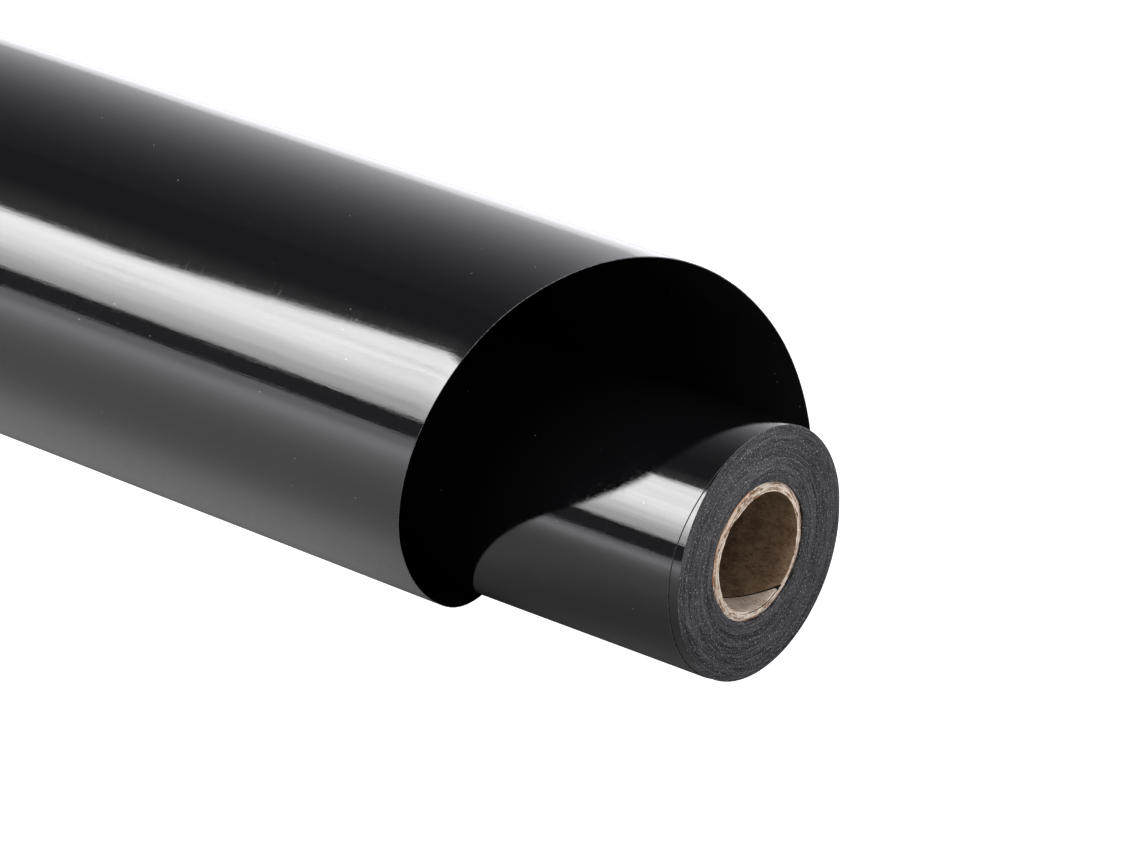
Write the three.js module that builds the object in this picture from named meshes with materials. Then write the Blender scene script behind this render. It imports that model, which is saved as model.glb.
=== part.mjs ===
// Roll of sign vinyl: a black film web wound on a spiral-wound paper core.
// Its outer lap has sprung loose and stands round the roll as a larger, skewed loop.
// Millimetres, +Z up. The roll lies on its side with its axis along X.
// The web is wound anticlockwise seen from +X, from the core out to the free end.

import * as THREE from 'three';

// ---- driving dimensions -------------------------------------------------------------------

const WEB_WIDTH = 305;
const ROLL_RADIUS = 41;
const BORE_RADIUS = 19.05;

const PLY_COUNT = 5;
const PLY_THICKNESS = 0.55;
const PLY_GLUE_GAP = 0.03;
const PLY_LEAD = 115;
const PLY_SEAM_GAP = 0.8;
const FRONT_SEAM_ANGLE = 213;

// The web has crept along its core, so the core's end lies this far inside the roll's front.
const CORE_INSET = 1.8;

const TAPE_THICKNESS = 0.12;
const TAPE_WIDTH = 34;
const TAPE_START = 6;
const TAPE_SLACK = 0.05;

const VINYL_THICKNESS = 0.12;
const CARRIER_THICKNESS = 0.13;
const FILM_GAP = 0.02;
const WRAP_GAP = 0.05;
const TURNING_GAP = 0.35;

// The last tight lap stands back from the roll's end by this much, except near the top.
const WRAP_SETBACK = 3.6;
const WRAP_RAMP_START = 15;
const WRAP_RAMP_END = 85;
const WRAP_RETURN_END = 285;

// The loose lap leaves the roll this far round from its lowest point. It bends in three arcs,
// and two more bring it down level before it reaches the roll's lowest line. Each radius is the
// roll's own plus an ease, given at the roll's front end and at LEAN_REACH behind it, because
// the loop leans as it goes back.
const LEAVE_ANGLE = 23.8;
const LAP_BENDS = [
  { frontEase: 21, backEase: 20.6, turn: 95.5 },
  { frontEase: 36.3, backEase: 26.4, turn: 79.5 },
  { frontEase: 13.7, backEase: 12, turn: 99.4 },
];
const LEAN_REACH = 410;
const LAST_TURN = 30.9;
const LEVEL_BEFORE = 6;

// The sprung lap runs askew, so its edges climb round the loop like a screw thread.
const LAP_SKEW = 13.3;
const LAP_SETBACK = 5.7;
const SKEW_RUN_IN = 60;
const TAIL_FLAT = 16;

// Facets.
const ROLL_SEGMENTS = 72;
const CORE_SEGMENTS = 30;
// A ply's pointed ends stop this many facets short of nothing.
const SEAM_TIP = 0.2;
const BEND_STEP = 5;

// ---- sizes worked out from the driving dimensions -----------------------------------------

const CORE_RADIUS = BORE_RADIUS + PLY_COUNT * PLY_THICKNESS + (PLY_COUNT - 1) * PLY_GLUE_GAP;
const WRAP_THICKNESS = VINYL_THICKNESS + FILM_GAP + CARRIER_THICKNESS;
const TURNS_OUTER_RADIUS = ROLL_RADIUS - WRAP_THICKNESS - WRAP_GAP;
const TURNS_INNER_RADIUS = CORE_RADIUS + 2 * TAPE_SLACK + TAPE_THICKNESS;
const ROLL_AXIS_HEIGHT = WRAP_THICKNESS + TURNING_GAP + ROLL_RADIUS;

const rad = THREE.MathUtils.degToRad;

// ---- materials ----------------------------------------------------------------------------

function finish(color, roughness, metalness = 0) {
  return new THREE.MeshStandardMaterial({ color, roughness, metalness });
}

const finishes = {
  carrier: finish(0x0a0a0b, 0.12),
  vinyl: finish(0x030303, 0.9),
  woundEdge: finish(0x1c1c1e, 0.55),
  kraftInside: finish(0xa5835c, 0.9),
  kraft: finish(0xc4a27c, 0.9),
  tape: finish(0xb98a55, 0.6),
};

// ---- solids -------------------------------------------------------------------------------

// A closed solid from rings of points. Every ring has the same number of points, in order
// round the section, and the ends are capped unless the rings join up into a hoop.
function solidFromRings(rings, hoop = false) {
  const sides = rings[0].length;
  const position = rings.flat().flatMap((p) => [p.x, p.y, p.z]);
  const index = [];
  const spans = hoop ? rings.length : rings.length - 1;
  for (let i = 0; i < spans; i += 1) {
    const here = i * sides;
    const next = ((i + 1) % rings.length) * sides;
    for (let j = 0; j < sides; j += 1) {
      const k = (j + 1) % sides;
      index.push(here + j, here + k, next + k, here + j, next + k, next + j);
    }
  }
  if (!hoop) {
    const last = (rings.length - 1) * sides;
    for (let j = 1; j < sides - 1; j += 1) {
      index.push(0, j + 1, j, last, last + j, last + j + 1);
    }
  }
  const geometry = new THREE.BufferGeometry();
  geometry.setAttribute('position', new THREE.Float32BufferAttribute(position, 3));
  geometry.setIndex(index);
  return geometry;
}

// A point at an angle round the roll, measured from its top in the winding direction.
function onRoll(radius, angle, x) {
  return new THREE.Vector3(x, -radius * Math.sin(angle), radius * Math.cos(angle));
}

// A tube round the roll's axis. frontX gives where its front edge lies at each angle, and the
// tube is one web width long everywhere.
function webTube(innerRadius, outerRadius, frontX = () => 0) {
  const rings = [];
  for (let i = 0; i < ROLL_SEGMENTS; i += 1) {
    const angle = (i / ROLL_SEGMENTS) * 2 * Math.PI;
    const front = frontX(THREE.MathUtils.radToDeg(angle));
    const back = front - WEB_WIDTH;
    rings.push([
      onRoll(innerRadius, angle, front),
      onRoll(outerRadius, angle, front),
      onRoll(outerRadius, angle, back),
      onRoll(innerRadius, angle, back),
    ]);
  }
  return solidFromRings(rings, true);
}

// ---- paper core ---------------------------------------------------------------------------

// A strip of the core's own length, between two radii, with one ring of four corners at each
// angle. front and back are places along X from the core's front end.
function coreRing(inner, outer, angle, front, back) {
  return [
    onRoll(inner, angle, front - CORE_INSET),
    onRoll(outer, angle, front - CORE_INSET),
    onRoll(outer, angle, back - CORE_INSET),
    onRoll(inner, angle, back - CORE_INSET),
  ];
}

// Each ply is one strip, wound helically with a narrow gap between its edges, and trimmed
// square at both ends of the core. The gaps are staggered evenly from ply to ply.
function corePly(ply) {
  const inner = BORE_RADIUS + ply * (PLY_THICKNESS + PLY_GLUE_GAP);
  const outer = inner + PLY_THICKNESS;
  const span = PLY_LEAD - PLY_SEAM_GAP;
  const seamTurn = FRONT_SEAM_ANGLE / 360 + ply / PLY_COUNT;
  const firstStep = Math.ceil((seamTurn - WEB_WIDTH / PLY_LEAD) * CORE_SEGMENTS + SEAM_TIP);
  const lastStep = Math.floor((seamTurn + span / PLY_LEAD) * CORE_SEGMENTS - SEAM_TIP);
  const rings = [];
  for (let step = firstStep; step <= lastStep; step += 1) {
    const turn = step / CORE_SEGMENTS;
    const leadingEdge = (turn - seamTurn) * PLY_LEAD;
    const front = Math.min(leadingEdge, 0);
    const back = Math.max(leadingEdge - span, -WEB_WIDTH);
    rings.push(coreRing(inner, outer, turn * 2 * Math.PI, front, back));
  }
  return solidFromRings(rings);
}

// The strip of tape that holds the web's first turn to the core, between core and web.
function starterTape() {
  const inner = CORE_RADIUS + TAPE_SLACK;
  const outer = inner + TAPE_THICKNESS;
  const stepAngle = 360 / CORE_SEGMENTS;
  const tapeAngle = THREE.MathUtils.radToDeg(TAPE_WIDTH / CORE_RADIUS);
  const firstStep = Math.round(TAPE_START / stepAngle);
  const lastStep = Math.round((TAPE_START + tapeAngle) / stepAngle);
  const rings = [];
  for (let step = firstStep; step <= lastStep; step += 1) {
    rings.push(coreRing(inner, outer, rad(step * stepAngle), 0, -WEB_WIDTH));
  }
  return solidFromRings(rings);
}

// ---- last tight lap -----------------------------------------------------------------------

function smoothRise(value, start, end) {
  return THREE.MathUtils.smoothstep(value, start, end);
}

// Where the front edge of the last tight lap lies, by the angle round from the top in degrees.
function wrapFrontX(angle) {
  const rise = smoothRise(angle, WRAP_RAMP_START, WRAP_RAMP_END);
  const fall = smoothRise(angle, 180 + LEAVE_ANGLE, WRAP_RETURN_END);
  return -WRAP_SETBACK * (rise - fall);
}

// ---- loose lap ----------------------------------------------------------------------------

// The radii of two arcs that start at a point and heading, meet at a middle heading, and end
// level on the surface below, LEVEL_BEFORE short of the roll's lowest line.
function levellingRadii(y, z, heading, middle) {
  const across = -LEVEL_BEFORE - y;
  const down = WRAP_THICKNESS / 2 - z;
  const firstAcross = Math.sin(middle) - Math.sin(heading);
  const firstDown = Math.cos(heading) - Math.cos(middle);
  const secondAcross = -Math.sin(middle);
  const secondDown = Math.cos(middle) - 1;
  const scale = firstAcross * secondDown - secondAcross * firstDown;
  return [
    (across * secondDown - secondAcross * down) / scale,
    (firstAcross * down - across * firstDown) / scale,
  ];
}

// The lap's middle line across the roll, as stations with a heading and the length run so far.
// It starts where the lap leaves the roll and ends where it comes level.
function lapLine(radii) {
  const leave = rad(LEAVE_ANGLE);
  const startRadius = ROLL_RADIUS + TURNING_GAP + WRAP_THICKNESS / 2;
  let y = startRadius * Math.sin(leave);
  let z = ROLL_AXIS_HEIGHT - startRadius * Math.cos(leave);
  let heading = leave;
  let run = 0;
  const line = [{ y, z, heading, run }];

  function bend(radius, turn) {
    const steps = Math.round(turn / rad(BEND_STEP));
    for (let i = 0; i < steps; i += 1) {
      const next = heading + turn / steps;
      y += radius * (Math.sin(next) - Math.sin(heading));
      z -= radius * (Math.cos(next) - Math.cos(heading));
      run += radius * turn / steps;
      heading = next;
      line.push({ y, z, heading, run });
    }
  }

  radii.forEach((radius, i) => bend(radius, rad(LAP_BENDS[i].turn)));
  const lastTurn = rad(LAST_TURN);
  const middle = 2 * Math.PI - lastTurn;
  const [fourth, fifth] = levellingRadii(y, z, heading, middle);
  bend(fourth, middle - heading);
  bend(fifth, lastTurn);
  return line;
}

// One station of the lap, with its middle line's place at the front edge and at the back edge.
function lapStation(front, back) {
  const skew = rad(LAP_SKEW);
  const skewHere = skew * smoothRise(front.run, 0, SKEW_RUN_IN);
  const frontX = -(LAP_SETBACK + front.run * Math.tan(skew));
  const backX = frontX - WEB_WIDTH / Math.cos(skewHere);
  const at = (x) => ({
    x,
    y: THREE.MathUtils.lerp(front.y, back.y, -x / LEAN_REACH),
    z: THREE.MathUtils.lerp(front.z, back.z, -x / LEAN_REACH),
  });
  return { heading: front.heading, frontEdge: at(frontX), backEdge: at(backX) };
}

// The free end: cut square to the web's edges, and flat on the surface below.
function tailStation(last) {
  const skew = rad(LAP_SKEW);
  const backY = last.backEdge.y + TAIL_FLAT;
  const frontY = backY + WEB_WIDTH * Math.sin(skew);
  const frontX = last.frontEdge.x - (frontY - last.frontEdge.y) * Math.tan(skew);
  const backX = frontX - WEB_WIDTH * Math.cos(skew);
  return {
    heading: last.heading,
    frontEdge: { x: frontX, y: frontY, z: last.frontEdge.z },
    backEdge: { x: backX, y: backY, z: last.backEdge.z },
  };
}

function lapStations() {
  const front = lapLine(LAP_BENDS.map((bend) => ROLL_RADIUS + bend.frontEase));
  const back = lapLine(LAP_BENDS.map((bend) => ROLL_RADIUS + bend.backEase));
  const stations = front.map((station, i) => lapStation(station, back[i]));
  stations.push(tailStation(stations.at(-1)));
  return stations;
}

// One film of the lap, between two distances from the lap's middle line. A positive distance
// is towards the inside of the loop.
function lapFilm(outward, inward) {
  const rings = lapStations().map(({ heading, frontEdge, backEdge }) => {
    const offset = (p, distance) => new THREE.Vector3(
      p.x,
      p.y - distance * Math.sin(heading),
      p.z + distance * Math.cos(heading),
    );
    return [
      offset(frontEdge, inward),
      offset(frontEdge, outward),
      offset(backEdge, outward),
      offset(backEdge, inward),
    ];
  });
  return solidFromRings(rings);
}

// ---- assembly -----------------------------------------------------------------------------

const lap = new THREE.Group();
const roll = new THREE.Group();

function add(parent, name, geometry, material) {
  geometry.computeVertexNormals();
  const mesh = new THREE.Mesh(geometry, material);
  mesh.name = name;
  parent.add(mesh);
}

const halfWeb = WRAP_THICKNESS / 2;
add(lap, 'lap_carrier_film', lapFilm(-halfWeb, CARRIER_THICKNESS - halfWeb), finishes.carrier);
add(lap, 'lap_vinyl_film', lapFilm(halfWeb - VINYL_THICKNESS, halfWeb), finishes.vinyl);

const carrierInner = ROLL_RADIUS - CARRIER_THICKNESS;
const vinylInner = ROLL_RADIUS - WRAP_THICKNESS;
const vinylOuter = vinylInner + VINYL_THICKNESS;
add(roll, 'wrap_carrier_film', webTube(carrierInner, ROLL_RADIUS, wrapFrontX), finishes.carrier);
add(roll, 'wrap_vinyl_film', webTube(vinylInner, vinylOuter, wrapFrontX), finishes.vinyl);
add(roll, 'tight_turns', webTube(TURNS_INNER_RADIUS, TURNS_OUTER_RADIUS), finishes.woundEdge);
add(roll, 'starter_tape', starterTape(), finishes.tape);
for (let ply = 0; ply < PLY_COUNT; ply += 1) {
  add(roll, `core_ply_${ply + 1}`, corePly(ply), ply === 0 ? finishes.kraftInside : finishes.kraft);
}
roll.position.z = ROLL_AXIS_HEIGHT;

// The origin is under the middle of the whole object, on the surface that it lies on.
const vinylRoll = new THREE.Group();
vinylRoll.add(lap, roll);
vinylRoll.updateMatrixWorld(true);
const middle = new THREE.Box3().setFromObject(vinylRoll).getCenter(new THREE.Vector3());
lap.position.x = -middle.x;
roll.position.x = -middle.x;
lap.position.y = -middle.y;
roll.position.y = -middle.y;

export default vinylRoll;
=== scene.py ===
# Roll of sign vinyl: glossy black film wound on a spiral paper core, with its outer lap sprung
# loose round it. Sizes are in millimetres and become metres where a point is placed.

import math
import random

import bmesh
import bpy
from mathutils import Matrix, Vector, noise


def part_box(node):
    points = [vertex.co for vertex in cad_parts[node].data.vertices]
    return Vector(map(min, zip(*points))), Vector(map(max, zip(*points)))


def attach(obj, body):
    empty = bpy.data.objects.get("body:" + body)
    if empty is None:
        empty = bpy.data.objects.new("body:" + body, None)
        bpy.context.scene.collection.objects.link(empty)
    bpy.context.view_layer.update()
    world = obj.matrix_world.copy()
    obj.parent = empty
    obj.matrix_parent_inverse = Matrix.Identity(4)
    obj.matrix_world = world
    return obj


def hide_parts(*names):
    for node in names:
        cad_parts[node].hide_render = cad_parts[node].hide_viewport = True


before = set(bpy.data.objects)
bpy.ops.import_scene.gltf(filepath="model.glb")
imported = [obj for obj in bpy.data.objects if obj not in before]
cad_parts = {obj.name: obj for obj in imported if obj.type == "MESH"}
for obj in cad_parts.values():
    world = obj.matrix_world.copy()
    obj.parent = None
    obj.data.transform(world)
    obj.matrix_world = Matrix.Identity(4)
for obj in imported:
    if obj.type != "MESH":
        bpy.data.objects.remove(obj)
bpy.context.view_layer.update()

MM = 0.001

# ---- sizes of the roll, as the CAD has them ------------------------------------------------

WEB_WIDTH = 305
ROLL_RADIUS = 41
BORE_RADIUS = 19.05

PLY_COUNT = 5
PLY_THICKNESS = 0.55
PLY_GLUE_GAP = 0.03
PLY_LEAD = 115
PLY_SEAM_GAP = 0.8
CORE_INSET = 1.8

TAPE_THICKNESS = 0.12
TAPE_SLACK = 0.05

VINYL_THICKNESS = 0.12
CARRIER_THICKNESS = 0.13
FILM_GAP = 0.02
WRAP_GAP = 0.05
TURNING_GAP = 0.35

WRAP_SETBACK = 3.6
WRAP_RAMP_START = 15
WRAP_RAMP_END = 85
WRAP_RETURN_END = 285

LEAVE_ANGLE = 23.8
LAP_TURNS = (95.5, 79.5, 99.4)
FRONT_EASES = (21, 36.3, 13.7)
BACK_EASES = (20.6, 26.4, 12)
LEAN_REACH = 410
LAST_TURN = 30.9
LEVEL_BEFORE = 6

LAP_SKEW = 13.3
LAP_SETBACK = 5.7
SKEW_RUN_IN = 60
TAIL_FLAT = 16

WRAP_THICKNESS = VINYL_THICKNESS + FILM_GAP + CARRIER_THICKNESS
CORE_RADIUS = BORE_RADIUS + PLY_COUNT * PLY_THICKNESS + (PLY_COUNT - 1) * PLY_GLUE_GAP
TURNS_OUTER_RADIUS = ROLL_RADIUS - WRAP_THICKNESS - WRAP_GAP
TURNS_INNER_RADIUS = CORE_RADIUS + 2 * TAPE_SLACK + TAPE_THICKNESS
AXIS_HEIGHT = WRAP_THICKNESS + TURNING_GAP + ROLL_RADIUS

# Where the roll lies: the middle of its front end.
turns_low, turns_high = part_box("tight_turns")
FRONT_X = turns_high.x / MM
AXIS_Y = (turns_low.y + turns_high.y) / 2 / MM
AXIS_Z = (turns_low.z + turns_high.z) / 2 / MM
ROLL_END = Vector((FRONT_X, AXIS_Y, AXIS_Z)) * MM

# ---- camera --------------------------------------------------------------------------------

CAMERA_AZIMUTH = math.radians(38.33)
CAMERA_ELEVATION = math.radians(26.56)
CAMERA_DISTANCE = 2398.5
CAMERA_LEFT = 57
CAMERA_RAISE = 37.5
CAMERA_LENS = 252.3
CAMERA_SENSOR = 36
CAMERA_REACH = 50


def make_camera():
    back = Vector((
        math.sin(CAMERA_AZIMUTH) * math.cos(CAMERA_ELEVATION),
        -math.cos(CAMERA_AZIMUTH) * math.cos(CAMERA_ELEVATION),
        math.sin(CAMERA_ELEVATION),
    ))
    right = Vector((math.cos(CAMERA_AZIMUTH), math.sin(CAMERA_AZIMUTH), 0))
    up = back.cross(right)
    data = bpy.data.cameras.new("camera")
    data.lens = CAMERA_LENS
    data.sensor_width = CAMERA_SENSOR
    data.clip_end = CAMERA_REACH
    camera = bpy.data.objects.new("camera", data)
    bpy.context.scene.collection.objects.link(camera)
    away = back * CAMERA_DISTANCE - right * CAMERA_LEFT + up * CAMERA_RAISE
    camera.matrix_world = Matrix.Translation(ROLL_END + away * MM) @ Matrix(
        (right, up, back)
    ).transposed().to_4x4()
    bpy.context.scene.camera = camera


make_camera()

# ---- node helpers --------------------------------------------------------------------------


def start_material(name, color, roughness, ior=1.5):
    material = bpy.data.materials.new(name)
    material.use_nodes = True
    tree = material.node_tree
    shader = tree.nodes["Principled BSDF"]
    shader.inputs["Base Color"].default_value = (*color, 1)
    shader.inputs["Roughness"].default_value = roughness
    shader.inputs["IOR"].default_value = ior
    return material, tree, shader


def put_node(tree, kind, inputs=None, **settings):
    node = tree.nodes.new("ShaderNode" + kind)
    for key, value in settings.items():
        setattr(node, key, value)
    for key, value in (inputs or {}).items():
        if isinstance(value, bpy.types.NodeSocket):
            tree.links.new(value, node.inputs[key])
        else:
            node.inputs[key].default_value = value
    return node


def do_math(tree, operation, *values, clamp=False):
    node = put_node(tree, "Math", dict(enumerate(values)), operation=operation)
    node.use_clamp = clamp
    return node.outputs[0]


def object_coords(tree, scale=(1, 1, 1), centre=(0, 0, 0)):
    """Object coordinates in millimetres, measured from centre, then scaled."""
    coords = put_node(tree, "TexCoord").outputs["Object"]
    moved = put_node(tree, "VectorMath", {0: coords, 1: centre}, operation="SUBTRACT")
    sized = [s / MM for s in scale]
    return put_node(
        tree, "VectorMath", {0: moved.outputs[0], 1: sized}, operation="MULTIPLY"
    ).outputs[0]


def noise_value(tree, coords, scale, detail=2.0, roughness=0.5, **more):
    return put_node(
        tree,
        "TexNoise",
        {"Vector": coords, "Scale": scale, "Detail": detail, "Roughness": roughness, **more},
    ).outputs["Fac"]


def remap(tree, value, low, high, new_low=0.0, new_high=1.0):
    return put_node(
        tree,
        "MapRange",
        {"Value": value, "From Min": low, "From Max": high, "To Min": new_low, "To Max": new_high},
        interpolation_type="SMOOTHSTEP",
    ).outputs["Result"]


def add_weighted(tree, *parts):
    """The sum of some values, each given with its weight."""
    total = None
    for value, weight in parts:
        share = do_math(tree, "MULTIPLY", value, weight)
        total = share if total is None else do_math(tree, "ADD", total, share)
    return total


# The Mix node has a set of sockets for each kind of value; these are the ones for colours.
MIX_FIRST, MIX_SECOND, MIX_RESULT = 6, 7, 2


def mix_color(tree, fac, first, second):
    node = put_node(tree, "Mix", data_type="RGBA")
    sockets = (node.inputs["Factor"], node.inputs[MIX_FIRST], node.inputs[MIX_SECOND])
    for socket, value in zip(sockets, (fac, first, second)):
        if isinstance(value, bpy.types.NodeSocket):
            tree.links.new(value, socket)
        elif isinstance(value, tuple):
            socket.default_value = (*value, 1)
        else:
            socket.default_value = value
    return node.outputs[MIX_RESULT]


def add_bump(tree, shader, height, strength, depth, after=None):
    """A bump so many millimetres deep, on top of another one if given."""
    inputs = {"Height": height, "Strength": strength, "Distance": depth * MM}
    if after is not None:
        inputs["Normal"] = after
    bump = put_node(tree, "Bump", inputs).outputs["Normal"]
    tree.links.new(bump, shader.inputs["Normal"])
    return bump


# ---- materials -----------------------------------------------------------------------------

FILM_BLACK = (0.0012, 0.0012, 0.0014)
FILM_DUST = (0.14, 0.14, 0.145)
CARRIER_IOR = 1.6

DUST_RADIUS = 0.2
DUST_SOFT_FROM = 0.6


def dust_specks(tree, coords, scale):
    """Sparse round specks: 1 on a speck, 0 elsewhere."""
    cells = put_node(tree, "TexVoronoi", {"Vector": coords, "Scale": scale})
    rim = DUST_RADIUS * scale
    return remap(tree, cells.outputs["Distance"], DUST_SOFT_FROM * rim, rim, 1.0, 0.0)


def gloss_film():
    """Clear carrier over black vinyl: a near-mirror with draw lines, hairlines and dust."""
    material, tree, shader = start_material("gloss_film", FILM_BLACK, 0.03, ior=CARRIER_IOR)
    coords = object_coords(tree)
    along = object_coords(tree, scale=(0.035, 1, 1))
    round_the_web = object_coords(tree, scale=(1, 0.03, 0.03))

    # Haze, grit and hairlines each roughen the mirror.
    haze = remap(tree, noise_value(tree, along, 0.35, 4.0), 0.4, 0.75, 0.02, 0.04)
    grit = remap(tree, noise_value(tree, coords, 1.9, 2.0, 0.7), 0.56, 0.72, 0.0, 0.11)
    scratches = noise_value(tree, round_the_web, 2.2, 3.0, 0.6)
    hairlines = remap(tree, scratches, 0.6, 0.7, 0.0, 0.09)
    rough = do_math(tree, "ADD", do_math(tree, "ADD", haze, grit), hairlines)
    tree.links.new(rough, shader.inputs["Roughness"])

    # Draw lines run along the roll, over a slight orange peel.
    draw_lines = noise_value(tree, along, 0.9, 5.0, 0.75)
    peel = add_bump(tree, shader, noise_value(tree, coords, 0.12, 2.0), 1.0, 0.012)
    add_bump(tree, shader, draw_lines, 1.0, 0.014, peel)

    color = mix_color(tree, dust_specks(tree, coords, 0.16), FILM_BLACK, FILM_DUST)
    tree.links.new(color, shader.inputs["Base Color"])
    return material


def cut_film():
    """The slit edge of the carrier, where the clear film shows paler; its pale grey is also a
    painted highlight of the edge catching the light.
    """
    material, tree, shader = start_material("cut_film", (0.12, 0.12, 0.13), 0.35)
    slit = remap(tree, noise_value(tree, object_coords(tree), 1.5, 3.0), 0.35, 0.65)
    # Painted highlight: the paler grey stands in for light caught along the slit edge, on top of
    # the film's own edge colour.
    color = mix_color(tree, slit, (0.06, 0.06, 0.065), (0.2, 0.2, 0.21))
    tree.links.new(color, shader.inputs["Base Color"])
    return material


def matt_vinyl():
    """The vinyl's own face, dead matt, seen inside the loose lap."""
    material, tree, shader = start_material("matt_vinyl", (0.0012, 0.0012, 0.0012), 0.85)
    shader.inputs["Specular IOR Level"].default_value = 0.06
    coords = object_coords(tree)
    cloudy = remap(tree, noise_value(tree, coords, 0.03, 3.0), 0.3, 0.7)
    base = mix_color(tree, cloudy, (0.0008, 0.0008, 0.0008), (0.0018, 0.0018, 0.0018))
    color = mix_color(tree, dust_specks(tree, coords, 0.2), base, (0.12, 0.12, 0.12))
    tree.links.new(color, shader.inputs["Base Color"])
    add_bump(tree, shader, noise_value(tree, coords, 3.0, 2.0), 0.3, 0.01)
    return material


def ring_coords(tree, coords, squeeze):
    """Coordinates whose first axis is the radius, so that a noise on them runs in rings."""
    _x, y, z = put_node(tree, "SeparateXYZ", {0: coords}).outputs
    radius = do_math(tree, "SQRT", do_math(
        tree, "ADD", do_math(tree, "MULTIPLY", y, y), do_math(tree, "MULTIPLY", z, z)
    ))
    return put_node(tree, "CombineXYZ", {
        0: radius,
        1: do_math(tree, "MULTIPLY", y, squeeze),
        2: do_math(tree, "MULTIPLY", z, squeeze),
    }).outputs[0]


def wound_edges():
    """The cut edges of some seventy laps, with rings that run round the roll."""
    material, tree, shader = start_material("wound_edges", (0.05, 0.05, 0.054), 0.5)
    coords = object_coords(tree, centre=ROLL_END)
    spread = ring_coords(tree, coords, 0.05)
    rings = noise_value(tree, spread, 1.9, 4.0, 0.7)
    bands = noise_value(tree, spread, 0.45, 2.0)
    grit = noise_value(tree, coords, 1.3, 3.0, 0.8)
    shade = remap(tree, add_weighted(tree, (rings, 0.55), (grit, 0.25), (bands, 0.2)), 0.43, 0.58)
    base = mix_color(tree, shade, (0.003, 0.003, 0.0035), (0.07, 0.07, 0.074))
    chip = remap(tree, noise_value(tree, coords, 1.6, 2.0, 0.7), 0.58, 0.68)
    color = mix_color(tree, chip, base, (0.32, 0.32, 0.33))
    tree.links.new(color, shader.inputs["Base Color"])
    first = add_bump(tree, shader, rings, 0.5, 0.05)
    add_bump(tree, shader, grit, 0.4, 0.04, first)
    return material


def cut_board():
    """The core's cut end: pale torn fibre with the plies as darker rings in it."""
    material, tree, shader = start_material("cut_board", (0.8, 0.7, 0.58), 0.9)
    shader.inputs["Specular IOR Level"].default_value = 0.2
    coords = object_coords(tree, centre=ROLL_END)
    plies = noise_value(tree, ring_coords(tree, coords, 0.12), 1.5, 3.0, 0.6)
    fuzz = noise_value(tree, coords, 1.1, 3.0, 0.7)
    blend = remap(tree, add_weighted(tree, (plies, 0.65), (fuzz, 0.35)), 0.4, 0.54)
    color = mix_color(tree, blend, (0.28, 0.15, 0.075), (0.84, 0.73, 0.6))
    tree.links.new(color, shader.inputs["Base Color"])
    add_bump(tree, shader, plies, 0.8, 0.15, add_bump(tree, shader, fuzz, 0.8, 0.15))
    return material


def kraft(name, dark, light, fleck):
    """Kraft board: long fibres, cloudy pulp and darker flecks."""
    material, tree, shader = start_material(name, light, 0.88)
    shader.inputs["Specular IOR Level"].default_value = 0.25
    coords = object_coords(tree)
    pulp = noise_value(tree, coords, 0.22, 4.0, 0.6)
    fibres = noise_value(tree, object_coords(tree, scale=(0.3, 1, 1)), 1.6, 4.0, 0.7)
    blend = add_weighted(tree, (pulp, 0.5), (fibres, 0.5))
    base = mix_color(tree, remap(tree, blend, 0.36, 0.64), dark, light)
    specks = noise_value(tree, object_coords(tree, scale=(0.7, 1, 1)), 1.5, 3.0, 0.7)
    flecks = remap(tree, specks, 0.58, 0.68)
    color = mix_color(tree, flecks, base, fleck)
    tree.links.new(color, shader.inputs["Base Color"])
    add_bump(tree, shader, fibres, 0.7, 0.08)
    return material


def brown_tape():
    """Creped paper tape."""
    material, tree, shader = start_material("brown_tape", (0.42, 0.2, 0.07), 0.6)
    coords = object_coords(tree)
    crepe = noise_value(tree, object_coords(tree, scale=(1, 0.3, 0.3)), 1.2, 3.0)
    shade = remap(tree, crepe, 0.35, 0.65)
    color = mix_color(tree, shade, (0.5, 0.16, 0.04), (0.8, 0.33, 0.1))
    tree.links.new(color, shader.inputs["Base Color"])
    add_bump(tree, shader, noise_value(tree, coords, 2.5, 2.0), 0.4, 0.05)
    return material


carrier_gloss = gloss_film()
vinyl_matt = matt_vinyl()
slit_edge_and_highlight = cut_film()
cut_edges = wound_edges()
end_kraft = cut_board()
bore_kraft = kraft(
    "bore_kraft", (0.1, 0.06, 0.033), (0.22, 0.145, 0.085), (0.035, 0.019, 0.01)
)
# Painted light: a paler copy of the bore's kraft, standing in for light on the bore's lower side.
painted_lit_kraft = kraft(
    "painted_lit_kraft", (0.36, 0.28, 0.21), (0.62, 0.52, 0.42), (0.17, 0.11, 0.07)
)
# Painted shade: a near-black kraft for the seam's sides and the outer plies' inner faces, seen only
# in shadow through the seam.
painted_shade_kraft = kraft(
    "painted_shade_kraft", (0.004, 0.003, 0.002), (0.012, 0.008, 0.005), (0.002, 0.001, 0.001)
)
tape_paper = brown_tape()

# ---- shared mesh steps ---------------------------------------------------------------------

SHARP_ANGLE = math.radians(40)

# The roll isn't quite round: oval at the back, and with a slight flat at the front.
OVAL_SHARE = 0.014
OVAL_LONG_WAY = math.radians(45)
FLAT_SHARE = 0.0058
FLAT_SPAN = math.radians(102)


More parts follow.
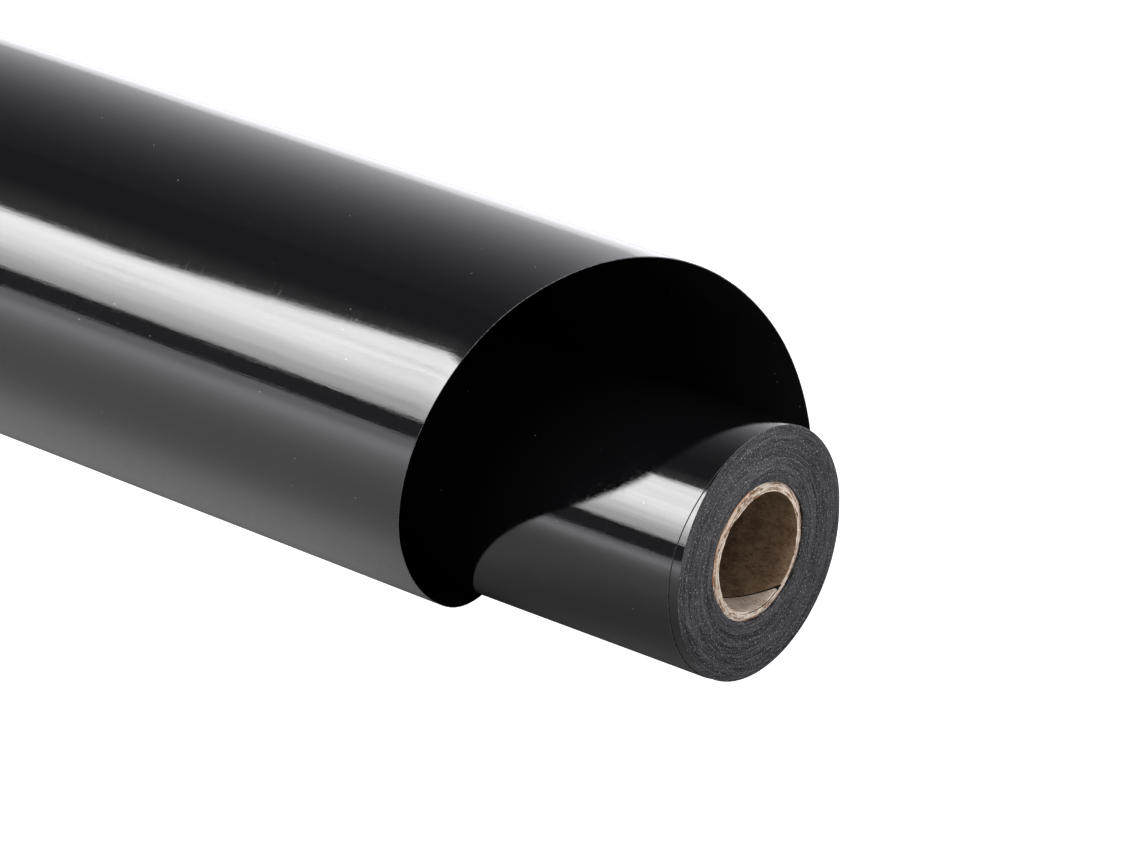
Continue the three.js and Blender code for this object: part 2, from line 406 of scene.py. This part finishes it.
def finish_piece(bm, name, body, nodes, materials):
    """Makes the piece from its bmesh, shades it smooth except at sharp edges, and files it."""
    bmesh.ops.recalc_face_normals(bm, faces=bm.faces)
    for face in bm.faces:
        face.smooth = True
    for edge in bm.edges:
        edge.smooth = len(edge.link_faces) == 2 and edge.calc_face_angle() < SHARP_ANGLE
    mesh = bpy.data.meshes.new(name)
    bm.to_mesh(mesh)
    bm.free()
    for material in materials:
        mesh.materials.append(material)
    piece = bpy.data.objects.new(name, mesh)
    bpy.context.scene.collection.objects.link(piece)
    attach(piece, body)
    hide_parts(*nodes)
    return piece


def on_roll(radius, angle, x):
    """A point at an angle round the roll, from its top in the winding direction."""
    return Vector((
        FRONT_X + x,
        AXIS_Y - radius * math.sin(angle),
        AXIS_Z + radius * math.cos(angle),
    )) * MM


def sat_round(angle):
    """The share of its radius that the roll keeps at an angle."""
    past = (angle - OVAL_LONG_WAY) % (2 * math.pi)
    if past < FLAT_SPAN:
        return 1 - FLAT_SHARE * (1 - math.cos(2 * math.pi * past / FLAT_SPAN))
    if past < math.pi:
        return 1
    return 1 - OVAL_SHARE * (1 - math.cos(2 * past))


def ease(value, start, end):
    t = min(max((value - start) / (end - start), 0), 1)
    return t * t * (3 - 2 * t)


def mapped_sheet(columns, rows, place):
    """A grid of columns by rows, each point put where place(u, v) says."""
    bm = bmesh.new()
    bmesh.ops.create_grid(bm, x_segments=columns, y_segments=rows, size=0.5)
    for vert in bm.verts:
        vert.co = place(vert.co.x + 0.5, vert.co.y + 0.5)
    return bm


def sheet_places(columns, rows, place):
    """The places of a mapped sheet's points."""
    bm = mapped_sheet(columns, rows, place)
    places = [vert.co.copy() for vert in bm.verts]
    bm.free()
    return places


def close_to(bm, places):
    """Closes a sheet to its far side, whose points lie at places. Returns the rim's faces."""
    near = list(bm.verts)
    rim = [edge for edge in bm.edges if edge.is_boundary]
    copied = bmesh.ops.duplicate(bm, geom=bm.verts[:] + bm.edges[:] + bm.faces[:])
    for vert, place in zip(near, places):
        copied["vert_map"][vert].co = place
    far_rim = [copied["edge_map"][edge] for edge in rim]
    return bmesh.ops.bridge_loops(bm, edges=rim + far_rim)["faces"]


# ---- loose lap -----------------------------------------------------------------------------

LAP_COLUMNS = 150
TAIL_COLUMNS = 6
LAP_ROWS = 70


def lap_arcs(eases):
    """The five bends of one end of the lap, each as (heading, turn, radius, y, z, run)."""
    turns = [math.radians(turn) for turn in LAP_TURNS]
    start = ROLL_RADIUS + TURNING_GAP + WRAP_THICKNESS / 2
    heading = math.radians(LEAVE_ANGLE)
    y, z, run = start * math.sin(heading), AXIS_HEIGHT - start * math.cos(heading), 0
    arcs = []

    def bend(radius, turn):
        nonlocal heading, y, z, run
        arcs.append((heading, turn, radius, y, z, run))
        y += radius * (math.sin(heading + turn) - math.sin(heading))
        z -= radius * (math.cos(heading + turn) - math.cos(heading))
        run += radius * turn
        heading += turn

    for gap, turn in zip(eases, turns):
        bend(ROLL_RADIUS + gap, turn)

    # Two last bends bring it level on the table.
    last = math.radians(LAST_TURN)
    middle = 2 * math.pi - last
    across, down = -LEVEL_BEFORE - y, WRAP_THICKNESS / 2 - z
    first_across = math.sin(middle) - math.sin(heading)
    first_down = math.cos(heading) - math.cos(middle)
    second_across, second_down = -math.sin(middle), math.cos(middle) - 1
    scale = first_across * second_down - second_across * first_down
    bend((across * second_down - second_across * down) / scale, middle - heading)
    bend((first_across * down - across * first_down) / scale, last)
    return arcs


def along_lap(arcs, heading):
    """Where the lap's middle line is, and how far it has run, at a heading."""
    arc = [a for a in arcs if a[0] <= heading + 1e-9][-1]
    start, _turn, radius, y, z, run = arc
    return (
        y + radius * (math.sin(heading) - math.sin(start)),
        z - radius * (math.cos(heading) - math.cos(start)),
        run + radius * (heading - start),
    )


front_arcs = lap_arcs(FRONT_EASES)
back_arcs = lap_arcs(BACK_EASES)
skew = math.radians(LAP_SKEW)


def lap_point(heading, across):
    """A point of the lap's middle surface, in the roll's own millimetres."""
    front_y, front_z, run = along_lap(front_arcs, heading)
    back_y, back_z, _run = along_lap(back_arcs, heading)
    front_x = -(LAP_SETBACK + run * math.tan(skew))
    back_x = front_x - WEB_WIDTH / math.cos(skew * ease(run, 0, SKEW_RUN_IN))
    x = front_x + (back_x - front_x) * across
    lean = -x / LEAN_REACH
    return Vector((x, front_y + (back_y - front_y) * lean, front_z + (back_z - front_z) * lean))


def tail_point(t, across):
    """The flat tail after the last bend, cut square to the web's edges."""
    level = 2 * math.pi
    front_edge, back_edge = lap_point(level, 0), lap_point(level, 1)
    tail_back_y = back_edge.y + TAIL_FLAT
    tail_front_y = tail_back_y + WEB_WIDTH * math.sin(skew)
    tail_front_x = front_edge.x - (tail_front_y - front_edge.y) * math.tan(skew)
    tail_back_x = tail_front_x - WEB_WIDTH * math.cos(skew)
    start = front_edge.lerp(back_edge, across)
    end = Vector((tail_front_x, tail_front_y, front_edge.z)).lerp(
        Vector((tail_back_x, tail_back_y, back_edge.z)), across
    )
    return start.lerp(end, t)


RIPPLE_DEPTH = 0.10
RIPPLE_LENGTH = 55
RIPPLE_ROUND = 9
RIPPLE_CUT = 3.7
SLACK_FROM = (0.1, 0.25)
SLACK_TO = (0.6, 0.8)

# Rows crowd together towards the front edge, which curls outwards a little.
EDGE_CROWDING = 1.6
EDGE_CURL = 0.08
EDGE_CURL_REACH = 6


def lap_place(distance):
    """Where the lap's points lie, at a distance towards the inside from its middle surface."""
    leave = math.radians(LEAVE_ANGLE)
    bends = LAP_COLUMNS / (LAP_COLUMNS + TAIL_COLUMNS)

    def place(u, row):
        v = row ** EDGE_CROWDING
        if u <= bends:
            heading = leave + (2 * math.pi - leave) * u / bends
            point = lap_point(heading, v)
        else:
            heading = 2 * math.pi
            point = tail_point((u - bends) / (1 - bends), v)
        slack = ease(u, *SLACK_FROM) * (1 - ease(u, *SLACK_TO))
        wave = Vector((point.x / RIPPLE_LENGTH, u * RIPPLE_ROUND, RIPPLE_CUT))
        ripple = noise.noise(wave) * RIPPLE_DEPTH * slack
        inward = Vector((0, -math.sin(heading), math.cos(heading)))
        curl = EDGE_CURL * max(0, 1 - v * WEB_WIDTH / EDGE_CURL_REACH) ** 2
        point += inward * (distance + ripple - curl * slack)
        return Vector((FRONT_X + point.x, AXIS_Y + point.y, point.z)) * MM

    return place


def make_lap_film(name, node, near, thickness, material):
    """One film of the lap, from its outer side, near, to its inner side."""
    grid = (LAP_COLUMNS + TAIL_COLUMNS, LAP_ROWS)
    bm = mapped_sheet(*grid, lap_place(near))
    for face in close_to(bm, sheet_places(*grid, lap_place(near + thickness))):
        face.material_index = 1
    finish_piece(bm, name, "loose_lap", [node], [material, slit_edge_and_highlight])


half_web = WRAP_THICKNESS / 2
make_lap_film(
    "loose_lap_carrier", "lap_carrier_film", -half_web, CARRIER_THICKNESS,
    carrier_gloss,
)
make_lap_film(
    "loose_lap_vinyl", "lap_vinyl_film", half_web - VINYL_THICKNESS, VINYL_THICKNESS,
    vinyl_matt,
)

# ---- last tight lap ------------------------------------------------------------------------

WRAP_STEPS = 144
WRAP_ROWS = 60

# A face whose normal has this much of the roll's direction in it is a cut edge.
CUT_EDGE_NORMAL = 0.9


def wrap_front(angle):
    """How far the last tight lap's front edge lies from the roll's end, at an angle."""
    degrees = math.degrees(angle) % 360
    rise = ease(degrees, WRAP_RAMP_START, WRAP_RAMP_END)
    fall = ease(degrees, 180 + LEAVE_ANGLE, WRAP_RETURN_END)
    return -WRAP_SETBACK * (rise - fall)


def spun(profile, steps):
    """Spins a closed profile of (x, radius) points right round the roll's axis."""
    bm = bmesh.new()
    verts = [bm.verts.new(on_roll(radius, 0, x)) for x, radius in profile]
    edges = [bm.edges.new(pair) for pair in zip(verts, verts[1:] + verts[:1])]
    bmesh.ops.spin(
        bm, geom=verts + edges, cent=ROLL_END, axis=(1, 0, 0),
        angle=2 * math.pi, steps=steps, use_merge=True,
    )
    bmesh.ops.remove_doubles(bm, verts=bm.verts, dist=1e-7)
    return bm


def round_angle(co):
    """A point's angle round the roll and its radius in millimetres."""
    y, z = co.y / MM - AXIS_Y, co.z / MM - AXIS_Z
    return math.atan2(-y, z) % (2 * math.pi), math.hypot(y, z)


def make_wrap_film(name, node, inner, outer, material):
    """One film of the last tight lap, between two radii."""
    rows = [-WEB_WIDTH * i / WRAP_ROWS for i in range(WRAP_ROWS + 1)]
    profile = [(x, outer) for x in rows] + [(rows[-1], inner), (rows[0], inner)]
    bm = spun(profile, WRAP_STEPS)
    for vert in bm.verts:
        angle, radius = round_angle(vert.co)
        seated = on_roll(radius * sat_round(angle), angle, wrap_front(angle))
        vert.co += seated - on_roll(radius, angle, 0)
    bm.normal_update()
    for face in bm.faces:
        face.material_index = 1 if abs(face.normal.x) > CUT_EDGE_NORMAL else 0
    finish_piece(bm, name, "outer_wrap", [node], [material, slit_edge_and_highlight])


make_wrap_film(
    "tight_lap_carrier", "wrap_carrier_film", ROLL_RADIUS - CARRIER_THICKNESS, ROLL_RADIUS,
    carrier_gloss,
)
make_wrap_film(
    "tight_lap_vinyl", "wrap_vinyl_film", ROLL_RADIUS - WRAP_THICKNESS,
    ROLL_RADIUS - WRAP_THICKNESS + VINYL_THICKNESS,
    vinyl_matt,
)

# ---- wound turns ---------------------------------------------------------------------------

TURN_STEPS = 144
LAP_PITCH = 0.27
LAP_GROOVE = 0.05
DEEP_GROOVE = 0.3
DEEP_SHARE = 0.06

# Where one lap's cut edge begins and ends and its groove lies, in parts of the pitch.
EDGE_BEGINS, EDGE_ENDS, GROOVE_AT = 0.12, 0.82, 0.97


def lap_edges(draw):
    """How far each lap's cut edge lies back from the end, from the core outwards."""
    count = round((TURNS_OUTER_RADIUS - TURNS_INNER_RADIUS) / LAP_PITCH)
    pitch = (TURNS_OUTER_RADIUS - TURNS_INNER_RADIUS) / count
    points = []
    for i in range(count):
        inner = TURNS_INNER_RADIUS + i * pitch
        back = draw.uniform(0, 2 * LAP_GROOVE)
        groove = DEEP_GROOVE if draw.random() < DEEP_SHARE else LAP_GROOVE
        points.append((back, inner + EDGE_BEGINS * pitch))
        points.append((back, inner + EDGE_ENDS * pitch))
        if i < count - 1:
            points.append((back + groove, inner + GROOVE_AT * pitch))
    points[0] = (points[0][0], TURNS_INNER_RADIUS)
    points[-1] = (points[-1][0], TURNS_OUTER_RADIUS)
    return points


def bump_round(angle, middle, half):
    """1 at an angle round the roll, falling to 0 half so many degrees away."""
    away = abs((math.degrees(angle) - middle + 180) % 360 - 180)
    return 1 - ease(away, 0, half)


TAPE_ROOM = 1.1
TAPE_ROOM_AT = math.radians(52)
TAPE_ROOM_REACH = (0.35, 0.75)

# Two more places where the innermost laps stand off: each a height, an angle and a half width.
LOOSE_SPOTS = ((0.35, 60, 20), (0.3, 200, 45))


def core_room(angle):
    """How far the innermost laps stand off the core: over the tape, and at the loose spots."""
    room = TAPE_ROOM * ease(math.cos(angle - TAPE_ROOM_AT), *TAPE_ROOM_REACH)
    for height, middle, half in LOOSE_SPOTS:
        room += height * bump_round(angle, middle, half)
    return room


WAVE_DEPTH = 0.06
WAVE_ROUND = 1.5
WAVE_OUTWARDS = 2.5
ROOM_FADE = 5
OUTSIDE_FROM = 0.94
ALONG_ROLL_NORMAL = 0.1
OUTSIDE_FACE_AREA = 1e-4


def make_tight_turns():
    """The wound turns, with the last one's outside showing as glossy film."""
    draw = random.Random(7)
    front = [(-back, radius) for back, radius in lap_edges(draw)]
    rear = [(-WEB_WIDTH + back, radius) for back, radius in reversed(lap_edges(draw))]
    bm = spun(front + rear, TURN_STEPS)
    for vert in bm.verts:
        angle, radius = round_angle(vert.co)
        across, up = math.sin(angle) * WAVE_ROUND, math.cos(angle) * WAVE_ROUND
        wave = noise.noise(Vector((radius * WAVE_OUTWARDS, across, up)))
        if vert.co.x > ROLL_END.x - 1 * MM:
            vert.co.x += min(WAVE_DEPTH * wave, 0.0) * MM
        fade = 1 - ease(radius, TURNS_INNER_RADIUS, TURNS_INNER_RADIUS + ROOM_FADE)
        room = core_room(angle) * fade
        outwards = ease(radius, TURNS_INNER_RADIUS, TURNS_OUTER_RADIUS)
        new_radius = (radius + room) * (1 + (sat_round(angle) - 1) * outwards)
        vert.co += on_roll(new_radius, angle, 0) - on_roll(radius, angle, 0)
    bm.normal_update()
    for face in bm.faces:
        _angle, radius = round_angle(face.calc_center_median())
        on_outside = (
            abs(face.normal.x) < ALONG_ROLL_NORMAL
            and radius > TURNS_OUTER_RADIUS * OUTSIDE_FROM
            and face.calc_area() > OUTSIDE_FACE_AREA
        )
        face.material_index = 1 if on_outside else 0
    finish_piece(
        bm, "tight_turns_of_film", "wound_roll", ["tight_turns"],
        [cut_edges, carrier_gloss],
    )


make_tight_turns()

# ---- paper core and its tape ---------------------------------------------------------------

PLY_STEPS = 120
PLY_ROWS = 4

# Where the innermost ply's seam meets the roll's front, 3 degrees on from the CAD's.
FRONT_SEAM_ANGLE = 216

# A seam's pointed ends stop this part of a turn short of nothing.
SEAM_TIP = 0.01

# The core's front end lies this far inside the roll's end, and each ply a little further in.
FRONT_INSET = 0.3
END_SLANT = 0.17
END_FRAY = 0.24
FRAY_COARSE, FRAY_FINE = 9, 31
FRAY_FINE_SHARE = 0.7
FLAP_SETBACK = 0.5

# The innermost ply's free end is painted paler for this part of a turn, as painted light on the
# bore's lit lower side.
FLAP_TURNS = 0.35

# Which faces belong to a cut end: near it, and facing along the roll.
NEAR_END = 3.5
CUT_END_NORMAL = 0.8
SEAM_NORMAL = 0.5
PLY_SKIN = 0.1

BORE_SIDE, CUT_END, PAINTED_LIT_FLAP, IN_SEAM = range(4)


def frayed(angle, radius):
    """How far a ply's cut end is frayed, forwards or back."""
    around = Vector((math.sin(angle), math.cos(angle), radius * 0.4))
    fine = FRAY_FINE_SHARE * noise.noise(around * FRAY_FINE)
    return END_FRAY * (noise.noise(around * FRAY_COARSE) + fine)


def make_ply(ply):
    """One paper strip of the core, wound helically and trimmed at both ends."""
    inner = BORE_RADIUS + ply * (PLY_THICKNESS + PLY_GLUE_GAP)
    span = PLY_LEAD - PLY_SEAM_GAP
    seam = FRONT_SEAM_ANGLE / 360 + ply / PLY_COUNT
    first = seam - WEB_WIDTH / PLY_LEAD + SEAM_TIP
    last = seam + span / PLY_LEAD - SEAM_TIP
    columns = round((last - first) * PLY_STEPS)

    def place_at(radius):
        def place(u, v):
            turn = first + (last - first) * u
            lead = (turn - seam) * PLY_LEAD
            front, back = min(lead, 0), max(lead - span, -WEB_WIDTH)
            angle = turn * 2 * math.pi
            x = front + (back - front) * v
            if v == 0 and front == 0:
                x -= END_SLANT * ply - frayed(angle, radius)
                if ply == 0 and turn > seam + 0.5:
                    x -= FLAP_SETBACK
            elif v == 1 and back == -WEB_WIDTH:
                x -= CORE_INSET + frayed(angle, radius)
            return on_roll(radius, angle, x - FRONT_INSET)

        return place

    bm = mapped_sheet(columns, PLY_ROWS, place_at(inner))
    flap_from = columns * (1 - FLAP_TURNS / (last - first))
    flap = {vert for i, vert in enumerate(bm.verts) if i % (columns + 1) > flap_from}
    close_to(bm, sheet_places(columns, PLY_ROWS, place_at(inner + PLY_THICKNESS)))
    bm.normal_update()
    for face in bm.faces:
        middle = face.calc_center_median()
        _angle, radius = round_angle(middle)
        behind = FRONT_X - middle.x / MM
        at_end = min(abs(behind), abs(behind - WEB_WIDTH)) < NEAR_END
        inwards = radius < inner + PLY_SKIN * PLY_THICKNESS
        if (at_end and abs(face.normal.x) > CUT_END_NORMAL) or (ply > 0 and not inwards):
            face.material_index = CUT_END
        elif ply == 0 and inwards and all(vert in flap for vert in face.verts):
            face.material_index = PAINTED_LIT_FLAP
        # The seam's side faces get the painted shade.
        elif abs(face.normal.x) > SEAM_NORMAL:
            face.material_index = IN_SEAM
        else:
            face.material_index = BORE_SIDE
    # Plies past the first get the painted shade on their inner faces.
    bore_side = bore_kraft if ply == 0 else painted_shade_kraft
    finish_piece(
        bm, f"core_strip_{ply + 1}", "wound_roll", [f"core_ply_{ply + 1}"],
        [bore_side, end_kraft, painted_lit_kraft, painted_shade_kraft],
    )


for ply in range(PLY_COUNT):
    make_ply(ply)

# The tape, from the first of these angles to the second, is thick with its own folds.
TAPE_START = 12
TAPE_END = 96
TAPE_COLUMNS = 60
TAPE_ROWS = 2
TAPE_BULGE = 0.75
TAPE_WRINKLE = 0.12
TAPE_INNER_SIDE, TAPE_OUTER_SIDE = -0.4, 0.25
TAPE_END_STEP = 0.45
TAPE_FAR_END = 1
TAPE_CORE_GAP = 0.03
TAPE_WEB_GAP = 0.02


def make_tape():
    """The strip of tape between the core and the web, wrinkled where the web stands off."""
    inner = CORE_RADIUS + TAPE_SLACK

    def place_at(side):
        def place(u, v):
            angle = math.radians(TAPE_START + (TAPE_END - TAPE_START) * u)
            lifted = core_room(angle) * TAPE_BULGE
            wrinkle = TAPE_WRINKLE * noise.noise(Vector((u * 14, v * 2, 1.0)))
            room = TURNS_INNER_RADIUS + core_room(angle) - TAPE_WEB_GAP
            radius = max(inner + lifted + wrinkle + side, CORE_RADIUS + TAPE_CORE_GAP)
            x = -TAPE_END_STEP - (WEB_WIDTH - TAPE_FAR_END) * v
            return on_roll(min(radius, room), angle, x)

        return place

    bm = mapped_sheet(TAPE_COLUMNS, TAPE_ROWS, place_at(TAPE_INNER_SIDE))
    close_to(bm, sheet_places(TAPE_COLUMNS, TAPE_ROWS, place_at(TAPE_OUTER_SIDE)))
    finish_piece(
        bm, "starter_tape_strip", "wound_roll", ["starter_tape"], [tape_paper]
    )


make_tape()

# ---- floor ---------------------------------------------------------------------------------

STUDIO_TINT = (0.975, 0.965, 1.02, 1)

FLOOR_REACH = 12
FLOOR_GLOW = 1.3

# In reflections the floor is darker, and a painted glow makes it paler again from the first of
# these to the second, in place of the softbox's light falling on it.
FLOOR_FAR_GLOW = 1.6
FLOOR_FAR = (0.1, 0.5)

# A shadow is painted into its colour beside the roll's end, where the roll would keep the light
# off.
SHADE_SETBACK = 0.03
SHADE_REACH = (0.03, 0.13)
PAINTED_FLOOR_SHADOW = (0.1, 0.1, 0.1)


def make_floor():
    """A pale floor, white to the eye and greyer in the film's reflections, with a painted shadow
    beside the roll's end and a painted glow further out.
    """
    bm = bmesh.new()
    bmesh.ops.create_grid(bm, x_segments=2, y_segments=2, size=FLOOR_REACH)
    mesh = bpy.data.meshes.new("floor")
    bm.to_mesh(mesh)
    bm.free()
    material, tree, shader = start_material("pale_floor", (0.22, 0.22, 0.22), 0.9)
    shader.inputs["Specular IOR Level"].default_value = 0.0
    shader.inputs["Emission Color"].default_value = STUDIO_TINT
    coords = put_node(tree, "TexCoord").outputs["Object"]

    paper = remap(tree, noise_value(tree, object_coords(tree), 0.4, 2.0), 0.3, 0.7)
    plain = mix_color(tree, paper, (0.21, 0.21, 0.21), (0.23, 0.23, 0.23))
    below_roll = Vector((ROLL_END.x - SHADE_SETBACK, ROLL_END.y, 0))
    away = put_node(
        tree, "VectorMath", {0: coords, 1: below_roll}, operation="DISTANCE"
    ).outputs["Value"]
    # Painted shadow: the floor's colour darkens towards the spot beside the roll's end.
    color = mix_color(tree, remap(tree, away, *SHADE_REACH), PAINTED_FLOOR_SHADOW, plain)
    tree.links.new(color, shader.inputs["Base Color"])

    seen = put_node(tree, "LightPath").outputs["Is Camera Ray"]
    side = put_node(tree, "SeparateXYZ", {0: coords}).outputs["Y"]
    # Painted light: the floor glows more the further it lies to either side of the roll.
    painted_far_glow = remap(tree, do_math(tree, "ABSOLUTE", side), *FLOOR_FAR, 0.0, FLOOR_FAR_GLOW)
    glow = do_math(tree, "MAXIMUM", do_math(tree, "MULTIPLY", seen, FLOOR_GLOW), painted_far_glow)
    tree.links.new(glow, shader.inputs["Emission Strength"])

    mesh.materials.append(material)
    floor = bpy.data.objects.new("floor", mesh)
    bpy.context.scene.collection.objects.link(floor)


make_floor()

# ---- light ---------------------------------------------------------------------------------

BOX_FOOT = (-0.45, -0.745, 0.245)
BOX_LENGTH = 1.5
BOX_BREADTH = 0.9
BOX_TILT = math.radians(56)
BOX_WATTS = 71

# The box's upper edge, in parts of its breadth. It steps up towards the roll's end, from
# STEP_FROM along the box, and wavers by FOLD_DEPTH.
BOX_EDGE = (0.445, 0.55)
STEP_FROM = 0.435
STEP_SLOPE = 1.78
STEP_MOST = 0.42
FOLD_DEPTH = 0.2

# Above the edge a faint haze of light is left.
HAZE = 0.022
HAZE_FADE = (0.49, 0.89)

# The box is dimmer towards its foot, and dimmed along its creases.
FOOT_REACH = 0.4
FOOT_STRENGTH, FULL_STRENGTH = 0.3, 0.85
CREASE_WIDTH = 0.02
CREASE_STRENGTH = 0.74
WEAVE_STRENGTHS = (0.87, 1.06)


def make_softbox():
    """One long softbox beside the roll. Its upper edge fades in soft folds, its lower is sharp."""
    data = bpy.data.lights.new("softbox", "AREA")
    data.shape = "RECTANGLE"
    data.size = BOX_LENGTH
    data.size_y = BOX_BREADTH
    data.energy = BOX_WATTS
    data.use_nodes = True
    tree = data.node_tree
    place = put_node(tree, "NewGeometry").outputs["Parametric"]
    u, v, _w = put_node(tree, "SeparateXYZ", {0: place}).outputs

    def cloth(along, up, detail, roughness=0.5):
        """A noise on the box's cloth, with so many cells along it and up it."""
        spread = put_node(tree, "VectorMath", {0: place, 1: (along, up, 0)}, operation="MULTIPLY")
        return noise_value(tree, spread.outputs[0], 1.0, detail, roughness)

    folds = do_math(tree, "SUBTRACT", cloth(7, 1.35, 3.0, 0.6), 0.5)
    fold = do_math(tree, "MULTIPLY", folds, FOLD_DEPTH)
    rising = do_math(tree, "MULTIPLY", do_math(tree, "SUBTRACT", u, STEP_FROM), STEP_SLOPE)
    step = do_math(tree, "MINIMUM", do_math(tree, "MAXIMUM", rising, 0.0), STEP_MOST)
    height = do_math(tree, "SUBTRACT", do_math(tree, "ADD", v, fold), step)

    lit = remap(tree, height, *BOX_EDGE, 1.0, 0.0)
    rise = remap(tree, v, 0.0, FOOT_REACH, FOOT_STRENGTH, FULL_STRENGTH)
    haze = do_math(tree, "MULTIPLY", remap(tree, height, *HAZE_FADE, 1.0, 0.0), HAZE)
    strength = do_math(tree, "MAXIMUM", do_math(tree, "MULTIPLY", lit, rise), haze)

    off_crease = do_math(tree, "ABSOLUTE", do_math(tree, "SUBTRACT", cloth(9, 18, 1.0), 0.5))
    crease = remap(tree, off_crease, 0.0, CREASE_WIDTH, CREASE_STRENGTH, 1.0)
    strength = do_math(tree, "MULTIPLY", strength, crease)
    weave = remap(tree, cloth(2.5, 67, 2.0), 0.35, 0.65, *WEAVE_STRENGTHS)
    strength = do_math(tree, "MULTIPLY", strength, weave)
    tree.links.new(strength, tree.nodes["Emission"].inputs["Strength"])

    softbox = bpy.data.objects.new("softbox", data)
    upwards = Vector((0, math.cos(BOX_TILT), math.sin(BOX_TILT)))
    softbox.location = Vector(BOX_FOOT) + upwards * BOX_BREADTH / 2
    softbox.rotation_euler = (BOX_TILT, 0, 0)
    softbox.visible_camera = False
    bpy.context.scene.collection.objects.link(softbox)


STUDIO_DIM = 0.1
BACK_WALL = 1.1
BACK_WALL_REACH = 0.83
BACK_WALL_FALL = 2.7
BACK_STEP = 0.035
BACK_STEP_AT = (0.06, 0.08)
END_WALL = 0.9
END_WALL_AT = (-0.35, 0.6)
FRONT_WALL = 0.07
FRONT_WALL_AT = (-0.5, -0.2)
FRONT_WALL_TOP = (0.1, 0.3)


def make_world():
    """A pale studio, dim above the roll and bright behind it and past its end."""
    world = bpy.data.worlds.new("studio")
    world.use_nodes = True
    tree = world.node_tree
    background = tree.nodes["Background"]
    direction = put_node(tree, "TexCoord").outputs["Generated"]
    x, y, z = put_node(tree, "SeparateXYZ", {0: direction}).outputs
    behind = do_math(tree, "DIVIDE", y, BACK_WALL_REACH, clamp=True)
    back_wall = do_math(tree, "POWER", behind, BACK_WALL_FALL)
    back_step = remap(tree, y, *BACK_STEP_AT)
    end_wall = remap(tree, x, *END_WALL_AT)
    total = add_weighted(tree, (back_wall, BACK_WALL), (back_step, BACK_STEP), (end_wall, END_WALL))
    front_wall = do_math(
        tree, "MULTIPLY",
        remap(tree, z, *FRONT_WALL_TOP, 1.0, 0.0),
        remap(tree, y, *FRONT_WALL_AT, FRONT_WALL, 0.0),
    )
    total = do_math(tree, "ADD", do_math(tree, "ADD", total, STUDIO_DIM), front_wall)
    tree.links.new(total, background.inputs["Strength"])
    background.inputs["Color"].default_value = STUDIO_TINT
    bpy.context.scene.world = world


make_softbox()
make_world()
bpy.context.scene.view_settings.view_transform = "Standard"
bpy.context.scene.view_settings.look = "None"
